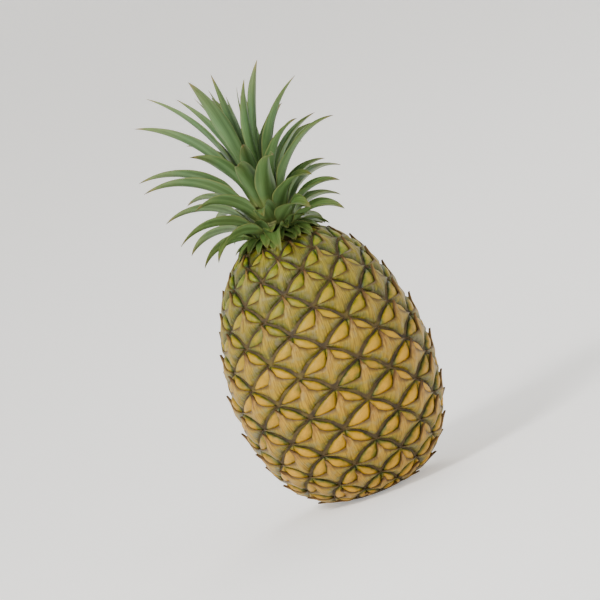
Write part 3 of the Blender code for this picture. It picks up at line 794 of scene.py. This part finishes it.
def leaflet_ring_tree():
    """Sets a leaflet again and again round the axis, each a golden angle on and of its own size by chance."""
    tree, given = new_tree("leaflet_ring", "Geometry", Geometry="Leaflet", Int="Count, Seed",
                           Vector="Middle, Least Size, Greatest Size", Float="First Bearing, Tilt",
                           Material="Material")
    places = add(tree, "GeometryNodePoints", {"Count": given["Count"], "Position": given["Middle"]})
    number = add(tree, "GeometryNodeInputIndex")
    bearing = add(tree, MATH, {0: number, 1: GOLDEN_ANGLE, 2: given["First Bearing"]},
                  operation="MULTIPLY_ADD")
    nod = add(tree, "FunctionNodeRandomValue", {"Seed": given["Seed"]}, data_type="FLOAT")
    either_way = add(tree, MATH, {0: nod.outputs[1], 1: 0.5}, operation="SUBTRACT")
    tilt = add(tree, MATH, {0: either_way, 1: given["Tilt"]}, operation="MULTIPLY")
    stance = add(tree, COMBINE, {"X": tilt, "Z": bearing})
    turned = add(tree, "FunctionNodeEulerToRotation", {0: stance})
    size = add(tree, "FunctionNodeRandomValue",
               {"Min": given["Least Size"], "Max": given["Greatest Size"], "Seed": given["Seed"]},
               data_type="FLOAT_VECTOR")
    ring = add(tree, "GeometryNodeInstanceOnPoints",
               {"Points": places, "Instance": given["Leaflet"], "Rotation": turned, "Scale": size})
    give_dressed(tree, ring, given["Material"])
    return tree


def make_leaflets(blade, ring, green):
    """The crown's smallest leaves: some clasp the stem and curl out, some lie on the fruit's shoulder."""
    # name -> half width, count, first bearing, and the middle line as (distance from the axis, height over
    # the body) in millimetres
    kinds = {
        "clasping_leaflets": (6.6 * MM, 13, math.radians(-6.0), (
            (13.2, 0.6), (14.4, 3.4), (16.2, 6.4), (19.0, 8.2), (22.4, 8.0), (26.0, 5.6))),
        "shoulder_leaflets": (5.4 * MM, 34, math.radians(15.0), (
            (12.8, 0.5), (15.5, 1.2), (19.0, 1.2), (23.0, -0.2), (26.5, -2.0), (30.0, -4.6))),
    }
    for name, (half_width, count, first_bearing, corners) in kinds.items():
        points = smooth_line([Vector((0.0, -distance * MM, height * MM)) for distance, height in corners])
        last = len(points) - 1
        sections = []
        for place in range(len(points)):
            share = place / last
            shape = (0.75 + 0.25 * smooth_step(share / 0.4)) * max(0.0, 1.0 - share**2.6) ** 0.8
            sections.append((half_width * shape, math.radians(24.0), 0.0))
        leaflet = grow("leaflet", line_mesh("leaflet_line", points, {"section": sections}), blade, {
            "Length": chain_length(points), "Thickness": 0.8 * MM, "Side": (1.0, 0.0, 0.0), "Wave": 1.2 * MM,
            "Wave Length": 9.0 * MM, "Around": 17, "Along": 17, "Age": 1.0, "Seed": count, "Weld": WELD,
            "Material": green})
        shape = leaflet.data
        bpy.data.objects.remove(leaflet)
        leaflets = grow(name, shape, ring, {
            "Count": count, "Middle": (0.0, 0.0, BODY_HEIGHT), "First Bearing": first_bearing,
            "Least Size": (0.75, 0.88, 0.8), "Greatest Size": (1.2, 1.14, 1.3), "Tilt": math.radians(10.0),
            "Seed": 4, "Material": green})
        finish_piece(leaflets, "crown_leaf")


def smooth_line(corners, steps=6):
    """A smooth run of points through the corners."""
    padded = [2.0 * corners[0] - corners[1]] + corners + [2.0 * corners[-1] - corners[-2]]
    points = []
    for before, start, end, after in zip(padded, padded[1:], padded[2:], padded[3:]):
        for step in range(steps):
            t = step / steps
            points.append(0.5 * (2.0 * start + (end - before) * t
                                 + (2.0 * before - 5.0 * start + 4.0 * end - after) * t**2
                                 + (3.0 * start - before - 3.0 * end + after) * t**3))
    return points + [corners[-1]]


# ---------------------------------------------------------------- finishes

# What the waxy skin of the eyes' sepals and bracts has in common
WAXY_SKIN = {"IOR": 1.45, "Specular IOR Level": 0.35, "Subsurface Weight": 0.08,
             "Subsurface Radius": (3.0 * MM, 2.0 * MM, 0.8 * MM)}


def new_material(name):
    """A material with an empty tree. Gives both."""
    material = bpy.data.materials.new(name)
    material.use_nodes = True
    material.node_tree.nodes.clear()
    return material, material.node_tree


def give_surface(tree, sockets):
    """Ends a material with its surface."""
    surface = add(tree, "ShaderNodeBsdfPrincipled", sockets)
    add(tree, "ShaderNodeOutputMaterial", {"Surface": surface})


def rind_material():
    """Pineapple skin between the eyes, grown: matt, dark and corky, which draws each eye's edge.

    Cork cells are too fine to show, so the cork's grain is drawn at 0.8 mm."""
    material, tree = new_material("pineapple_skin_between_eyes")
    place = add(tree, "ShaderNodeTexCoord").outputs["Object"]
    patches = add(tree, NOISE, {"Vector": place, "Scale": 1.0 / (6.0 * MM), "Detail": 4.0})
    shades = add(tree, RAMP, {0: patches}, [(0.3, "#231804"), (0.55, "#43320B"), (0.75, "#5C4E10")])
    cork = add(tree, NOISE, {"Vector": place, "Scale": 1.0 / (0.8 * MM), "Detail": 3.0})
    bump = add(tree, "ShaderNodeBump", {"Height": cork, "Strength": 0.5, "Distance": 0.3 * MM})
    give_surface(tree, {"Base Color": shades, "Normal": bump, "Roughness": 0.75})
    return material


def sepal_material():
    """Pineapple sepal skin, grown: waxy, golden on its crest, and olive green to the crown and to its edges.
    Deep in the eye, towards its edges, it darkens nearly to black, which is painted shade in the hollows as
    well as greener skin.

    Its pores are too fine to show, so they are drawn at 1.1 mm."""
    material, tree = new_material("pineapple_sepal_skin")
    place = add(tree, "ShaderNodeTexCoord").outputs["Object"]
    local = add(tree, "ShaderNodeAttribute", attribute_name="eye_place")
    lifts = add(tree, SEPARATE, {0: local.outputs["Vector"]})
    mottle = add(tree, NOISE, {"Vector": place, "Scale": 1.0 / (5.0 * MM), "Detail": 5.0})
    chance = add(tree, "ShaderNodeAttribute", attribute_name="eye_chance")
    lots = add(tree, SEPARATE, {0: chance.outputs["Vector"]})
    luck = add(tree, MATH, {0: lots.outputs["Z"], 1: 0.3, 2: -0.7}, operation="MULTIPLY_ADD")
    level = add(tree, MATH, {0: mottle, 1: 1.1, 2: luck}, operation="MULTIPLY_ADD")
    crest = add(tree, MATH, {0: lifts.outputs["Z"], 1: level}, operation="ADD")
    # Painted shade as well as greener skin: the lower the skin lies in its eye, the darker and greener the
    # ramps colour it, darkest in the hollows by the grooves
    ripeness_and_shade_share = add(tree, MAP_RANGE, {"Value": crest, "From Min": -0.85, "From Max": 0.0})
    ripe = add(tree, RAMP, {0: ripeness_and_shade_share},
               [(0.0, "#2E3410"), (0.3, "#5E5A0E"), (0.62, "#98730A"), (1.0, "#B8880C")])
    green = add(tree, RAMP, {0: ripeness_and_shade_share},
                [(0.0, "#1C260C"), (0.3, "#3C5012"), (0.62, "#6A7616"), (1.0, "#8A801A")])
    height = add(tree, SEPARATE, {0: place})
    greener = add(tree, MAP_RANGE,
                  {"Value": height.outputs["Z"], "From Min": 0.35 * BODY_HEIGHT,
                   "From Max": 1.05 * BODY_HEIGHT}, interpolation_type="SMOOTHSTEP")
    skin = add(tree, MIX, {0: greener, 6: ripe, 7: green}, data_type="RGBA")
    pores = add(tree, NOISE, {"Vector": place, "Scale": 1.0 / (1.1 * MM), "Detail": 4.0})
    bump = add(tree, "ShaderNodeBump", {"Height": pores, "Strength": 0.6, "Distance": 0.5 * MM})
    gloss = add(tree, MAP_RANGE, {"Value": mottle, "To Min": 0.34, "To Max": 0.56})
    give_surface(tree, WAXY_SKIN | {"Base Color": skin.outputs[2], "Roughness": gloss, "Normal": bump})
    return material


def bract_material():
    """Pineapple bract, grown and dried at its tip: gold waxy skin streaked towards its point, which gives
    each eye its grain, and a dry, papery brown spike."""
    material, tree = new_material("pineapple_bract_papery_tip")
    place = add(tree, "ShaderNodeTexCoord").outputs["Object"]
    local = add(tree, "ShaderNodeAttribute", attribute_name="eye_place")
    chance = add(tree, "ShaderNodeAttribute", attribute_name="eye_chance")
    lots = add(tree, SEPARATE, {0: chance.outputs["Vector"]})
    parts = add(tree, SEPARATE, {0: local.outputs["Vector"]})
    down = add(tree, MATH, {0: parts.outputs["X"], 1: parts.outputs["Y"]}, operation="ADD")
    across = add(tree, MATH, {0: parts.outputs["X"], 1: parts.outputs["Y"]}, operation="SUBTRACT")
    fan = add(tree, MATH, {0: across, 1: down}, operation="ARCTAN2")
    streak_place = add(tree, COMBINE, {"X": fan, "Y": down, "Z": lots.outputs["X"]})
    # Streaks side by side by their bearing, long down the eye, and other ones on each eye
    streak_scale = (26.0, 1.6, 9.0)
    stretch = add(tree, VECTOR_MATH, {0: streak_place, 1: streak_scale}, operation="MULTIPLY")
    streaks = add(tree, NOISE, {"Vector": stretch, "Scale": 1.0, "Detail": 3.0})
    mottle = add(tree, NOISE, {"Vector": place, "Scale": 1.0 / (4.0 * MM), "Detail": 4.0})
    luck = add(tree, MATH, {0: lots.outputs["Z"], 1: -0.12, 2: -0.22}, operation="MULTIPLY_ADD")
    wander = add(tree, MATH, {0: mottle, 1: 0.56, 2: luck}, operation="MULTIPLY_ADD")
    to_edge = add(tree, MATH, {0: parts.outputs["X"], 1: parts.outputs["Y"]}, operation="MAXIMUM")
    along = add(tree, MATH, {0: to_edge, 1: wander}, operation="ADD")
    gold = add(tree, RAMP, {0: along},
               [(0.0, "#2E1A0C"), (0.14, "#6E4A22"), (0.32, "#9A7230"), (0.50, "#AE8626"),
                (0.74, "#A08014"), (0.90, "#6E660F"), (1.0, "#3A3C0E")])
    green = add(tree, RAMP, {0: along},
                [(0.0, "#2E1A0C"), (0.14, "#664822"), (0.32, "#86702A"), (0.50, "#8C8426"),
                 (0.74, "#6E7018"), (0.90, "#425012"), (1.0, "#26300C")])
    height = add(tree, SEPARATE, {0: place})
    greener = add(tree, MAP_RANGE,
                  {"Value": height.outputs["Z"], "From Min": 0.35 * BODY_HEIGHT,
                   "From Max": 1.1 * BODY_HEIGHT}, interpolation_type="SMOOTHSTEP")
    skin = add(tree, MIX, {0: greener, 6: gold, 7: green}, data_type="RGBA")
    streak_share = add(tree, MAP_RANGE,
                       {"Value": streaks, "From Min": 0.35, "From Max": 0.72, "To Max": 0.7})
    streaked = add(tree, MIX, {0: streak_share, 6: skin.outputs[2], 7: colour("#7A5A2A")}, data_type="RGBA",
                   blend_type="MULTIPLY")
    bloom_share = add(tree, MAP_RANGE,
                      {"Value": mottle, "From Min": 0.50, "From Max": 0.70, "To Max": 0.35})
    bloomed = add(tree, MIX, {0: bloom_share, 6: streaked.outputs[2], 7: colour("#9A8A60")},
                  data_type="RGBA")
    rim = add(tree, "ShaderNodeAttribute", attribute_name="inside")
    frayed = add(tree, MATH, {0: streaks, 1: 0.5, 2: -0.25}, operation="MULTIPLY_ADD")
    to_rim = add(tree, MATH, {0: rim.outputs["Fac"], 1: frayed}, operation="ADD")
    dry_share = add(tree, MAP_RANGE,
                    {"Value": to_rim, "From Min": 0.1, "From Max": 0.65, "To Min": 0.9, "To Max": 0.0})
    edged = add(tree, MIX, {0: dry_share, 6: bloomed.outputs[2], 7: colour("#4E3818")}, data_type="RGBA")
    bump = add(tree, "ShaderNodeBump", {"Height": streaks, "Strength": 0.8, "Distance": 0.5 * MM})
    gloss = add(tree, MAP_RANGE,
                {"Value": down, "From Min": 0.3, "From Max": 1.2, "To Min": 0.75, "To Max": 0.42})
    give_surface(tree, WAXY_SKIN | {"Base Color": edged.outputs[2], "Roughness": gloss, "Normal": bump})
    return material


def leaf_material():
    """Pineapple leaf, grown: tough, waxy and fibrous, green with a pale base, a grey bloom below and a dry
    tip. Its fibres are about 0.3 mm apart, and they are drawn at 0.55 mm to show."""
    material, tree = new_material("pineapple_leaf_waxy")
    place = add(tree, "ShaderNodeTexCoord").outputs["Object"]
    blade = add(tree, "ShaderNodeAttribute", attribute_name="blade_place")
    shares = add(tree, "ShaderNodeAttribute", attribute_name="blade_share")
    blade_at = add(tree, SEPARATE, {0: blade.outputs["Vector"]})
    share = add(tree, SEPARATE, {0: shares.outputs["Vector"]})
    fibre_place = add(tree, VECTOR_MATH,
                      {0: blade.outputs["Vector"], 1: (1.0 / (0.55 * MM), 1.0 / (30.0 * MM), 1.0)},
                      operation="MULTIPLY")
    fibres = add(tree, NOISE, {"Vector": fibre_place, "Scale": 1.0, "Detail": 2.0})
    blotches = add(tree, NOISE, {"Vector": place, "Scale": 1.0 / (14.0 * MM), "Detail": 3.0})
    wander = add(tree, MATH, {0: blotches, 1: 0.16, 2: -0.08}, operation="MULTIPLY_ADD")
    wandered = add(tree, MATH, {0: share.outputs["Y"], 1: wander}, operation="ADD")
    along = add(tree, MATH, {0: share.outputs["Z"], 1: 0.07, 2: wandered}, operation="MULTIPLY_ADD")
    top = add(tree, RAMP, {0: along},
              [(0.0, "#BDB76A"), (0.10, "#7F8F3C"), (0.24, "#3F6428"), (0.65, "#2F5522"), (0.92, "#4A581F"),
               (0.98, "#7A6230"), (1.0, "#5A3E1E")])
    under = add(tree, RAMP, {0: along},
                [(0.0, "#C6C286"), (0.10, "#93A05C"), (0.24, "#5E7C4E"), (0.65, "#4A6C40"),
                 (0.92, "#5C6A3A"), (0.98, "#826C40"), (1.0, "#5E4428")])
    is_top = add(tree, MAP_RANGE, {"Value": blade_at.outputs["Z"], "From Min": -0.15, "From Max": 0.15})
    skin = add(tree, MIX, {0: is_top, 6: under, 7: top}, data_type="RGBA")
    weathering = add(tree, MATH, {0: share.outputs["Z"], 1: blotches}, operation="MULTIPLY")
    faded_share = add(tree, MAP_RANGE,
                      {"Value": weathering, "From Min": 0.15, "From Max": 0.6, "To Max": 0.5})
    faded = add(tree, MIX, {0: faded_share, 6: skin.outputs[2], 7: colour("#5C6A2C")}, data_type="RGBA")
    line_share = add(tree, MAP_RANGE, {"Value": fibres, "From Min": 0.35, "From Max": 0.7, "To Max": 0.45})
    lined = add(tree, MIX, {0: line_share, 6: faded.outputs[2], 7: colour("#6E8A4C")}, data_type="RGBA")
    band_place = add(tree, VECTOR_MATH,
                     {0: blade.outputs["Vector"], 1: (1.0 / (2.4 * MM), 1.0 / (70.0 * MM), 1.0)},
                     operation="MULTIPLY")
    bands = add(tree, NOISE, {"Vector": band_place, "Scale": 1.0, "Detail": 1.0})
    band_share = add(tree, MAP_RANGE, {"Value": bands, "From Min": 0.42, "From Max": 0.68, "To Max": 0.6})
    banded = add(tree, MIX, {0: band_share, 6: lined.outputs[2], 7: colour("#8E9C6A")}, data_type="RGBA",
                 blend_type="MULTIPLY")
    reach = add(tree, MATH, {0: share.outputs["X"]}, operation="ABSOLUTE")
    margin = add(tree, MAP_RANGE, {"Value": reach, "From Min": 0.90, "To Max": 0.55})
    edged = add(tree, MIX, {0: margin, 6: banded.outputs[2], 7: colour("#7E7838")}, data_type="RGBA")
    bump = add(tree, "ShaderNodeBump", {"Height": fibres, "Strength": 0.4, "Distance": 0.25 * MM})
    gloss = add(tree, MAP_RANGE, {"Value": blotches, "To Min": 0.36, "To Max": 0.55})
    give_surface(tree, {"Base Color": edged.outputs[2], "Roughness": gloss, "Normal": bump, "IOR": 1.45})
    return material


def stem_material():
    """Pineapple crown stem, grown: dull green, fleshy and ringed by leaf scars."""
    material, tree = new_material("pineapple_crown_stem")
    place = add(tree, "ShaderNodeTexCoord").outputs["Object"]
    patches = add(tree, NOISE, {"Vector": place, "Scale": 1.0 / (3.0 * MM), "Detail": 4.0})
    shades = add(tree, RAMP, {0: patches}, [(0.3, "#5C6430"), (0.5, "#7E8444"), (0.7, "#9C9C60")])
    bump = add(tree, "ShaderNodeBump", {"Height": patches, "Strength": 0.5, "Distance": 0.4 * MM})
    give_surface(tree, {"Base Color": shades, "Normal": bump, "Roughness": 0.6})
    return material


def stalk_material():
    """Cut pineapple stalk, sawn and dried: matt, pale fibre ends in browner pith, drawn at 1.1 mm to show."""
    material, tree = new_material("pineapple_cut_stalk")
    place = add(tree, "ShaderNodeTexCoord").outputs["Object"]
    ends = add(tree, "ShaderNodeTexVoronoi", {"Vector": place, "Scale": 1.0 / (1.1 * MM)})
    shades = add(tree, RAMP, {0: ends}, [(0.0, "#D8C48E"), (0.35, "#B49A62"), (0.8, "#7E6238")])
    bump = add(tree, "ShaderNodeBump", {"Height": ends, "Strength": 0.6, "Distance": 0.4 * MM}, invert=True)
    give_surface(tree, {"Base Color": shades, "Normal": bump, "Roughness": 0.85})
    return material


# ---------------------------------------------------------------- stem and stalk

def turned_outline(corners, steps):
    """Points along straight runs between corners given as (radius, height)."""
    points = []
    for start, end in zip(corners, corners[1:]):
        a = Vector((0.0, -start[0], start[1]))
        b = Vector((0.0, -end[0], end[1]))
        points.extend(a.lerp(b, step / steps) for step in range(steps))
    points.append(Vector((0.0, -corners[-1][0], corners[-1][1])))
    return points


def make_crown_stem(turned_skin):
    """The cone that the leaves grow from, with a scar ring under each turn of the leaves."""
    points = turned_outline([(0.0, STEM_FOOT), (STEM_BASE_RADIUS, STEM_FOOT),
                             (STEM_TIP_RADIUS, STEM_TIP - MM), (0.0, STEM_TIP)], 60)
    ring_spacing = 2.4 * MM
    shares = [0.5 - 0.5 * math.cos(TURN * (point.z - STEM_FOOT) / ring_spacing) for point in points]
    stem = grow("stem", line_mesh("stem_outline", points, {"relief": shares}), turned_skin, {
        "Outline Length": chain_length(points), "Around": 65, "Along": 121, "Sink": 0.5 * MM,
        "Grain Depth": 0.3 * MM, "Grain Size": 3.0 * MM, "Seed": 5, "Weld": WELD,
        "Material": stem_material()})
    finish_piece(stem, "crown_stem", "crown_stem")


def make_cut_stalk(turned_skin):
    """The stub in the fruit's foot, cut across."""
    points = turned_outline([(0.0, 0.3 * MM), (0.96 * STALK_RADIUS, 0.2 * MM), (STALK_RADIUS, 0.6 * MM),
                             (STALK_RADIUS, STALK_LENGTH), (0.0, STALK_LENGTH)], 30)
    stalk = grow("stalk", line_mesh("stalk_outline", points, {"relief": [0.0] * len(points)}), turned_skin, {
        "Outline Length": chain_length(points), "Around": 65, "Along": 61, "Sink": 0.0,
        "Grain Depth": 0.2 * MM, "Grain Size": 1.5 * MM, "Seed": 7, "Weld": WELD,
        "Material": stalk_material()})
    finish_piece(stalk, "cut_stalk", "cut_stalk")


# ---------------------------------------------------------------- floor, light and camera

def make_floor():
    """A round pale floor that sweeps up into a wall, so that no edge shows from any side."""
    flat_radius = 0.5
    bend = 3.2
    wall_top = 4.5
    bend_steps = 32
    turn_steps = 96
    profile = [(0.0, 0.0), (flat_radius, 0.0)]
    for step in range(1, bend_steps + 1):
        angle = 0.5 * math.pi * step / bend_steps
        profile.append((flat_radius + bend * math.sin(angle), bend - bend * math.cos(angle)))
    profile.append((flat_radius + bend, wall_top))
    shape = bmesh.new()
    corners = [shape.verts.new((radius, 0.0, height)) for radius, height in profile]
    edges = [shape.edges.new(pair) for pair in zip(corners, corners[1:])]
    bmesh.ops.spin(shape, geom=corners + edges, axis=(0.0, 0.0, 1.0), cent=(0.0, 0.0, 0.0),
                   steps=turn_steps, angle=TURN)
    bmesh.ops.remove_doubles(shape, verts=shape.verts, dist=MM)
    bmesh.ops.recalc_face_normals(shape, faces=shape.faces)
    bmesh.ops.reverse_faces(shape, faces=shape.faces)
    mesh = settled_mesh("floor", shape)
    shape.free()
    mesh.shade_smooth()
    material, tree = new_material("pale_studio_paper")
    give_surface(tree, {"Base Color": colour("#F4F2EE"), "Roughness": 0.9,
                        "Emission Color": colour("#FFFFFF"), "Emission Strength": 0.35})
    mesh.materials.append(material)
    floor = bpy.data.objects.new("floor", mesh)
    bpy.context.scene.collection.objects.link(floor)


def add_light(name, place, aim, size, power):
    """A round soft light of a width and a power in watts, turned to what it lights."""
    light = bpy.data.lights.new(name, "AREA")
    light.shape = "DISK"
    light.size = size
    light.energy = power
    lamp = bpy.data.objects.new(name, light)
    lamp.location = place
    lamp.rotation_euler = (Vector(aim) - Vector(place)).to_track_quat("-Z", "Y").to_euler()
    bpy.context.scene.collection.objects.link(lamp)


def make_light():
    """Plain soft studio light: a key from the front left, a weak fill, a top light and an even room."""
    middle = (0.0, 0.0, 0.13)
    add_light("key", (-0.9, -1.2, 1.3), middle, 0.5, 36.0)
    add_light("fill", (1.3, -1.0, 0.6), middle, 1.2, 4.0)
    add_light("top", (0.3, 0.9, 1.4), middle, 0.9, 10.0)
    world = bpy.data.worlds.new("soft_room")
    world.use_nodes = True
    world.node_tree.nodes["Background"].inputs["Color"].default_value = colour("#FFFFFF")
    world.node_tree.nodes["Background"].inputs["Strength"].default_value = 0.25
    bpy.context.scene.world = world


def make_camera():
    """A long lens almost level with the fruit, rolled so that the fruit leans to the left in the picture."""
    view_width = 369.6 * MM
    elevation = math.radians(3.0)
    lean = math.radians(21.2)
    aim = Vector((-2.1 * MM, 0.0, 126.3 * MM))
    lens = bpy.data.cameras.new("camera")
    lens.lens = 135.0
    distance = view_width * lens.lens / lens.sensor_width
    back = Vector((0.0, -math.cos(elevation), math.sin(elevation)))
    camera = bpy.data.objects.new("camera", lens)
    facing = (-back).to_track_quat("-Z", "Y").to_matrix().to_4x4()
    camera.matrix_world = Matrix.Translation(aim + back * distance) @ facing @ Matrix.Rotation(-lean, 4, "Z")
    lens.clip_start = 0.05
    bpy.context.scene.collection.objects.link(camera)
    bpy.context.scene.camera = camera


def main():
    ease = ease_tree()
    turned_point = turned_point_tree()
    turned_skin = turned_skin_tree(turned_point)
    make_fruit(turned_skin, eye_shells_tree(eye_point_tree(ease, turned_point)))
    make_crown_stem(turned_skin)
    make_cut_stalk(turned_skin)
    blade = leaf_blade_tree()
    green = leaf_material()
    make_crown_leaves(blade, green)
    make_leaflets(blade, leaflet_ring_tree(), green)
    for helper in helpers:
        bpy.data.objects.remove(helper)
    make_floor()
    make_light()
    make_camera()


main()
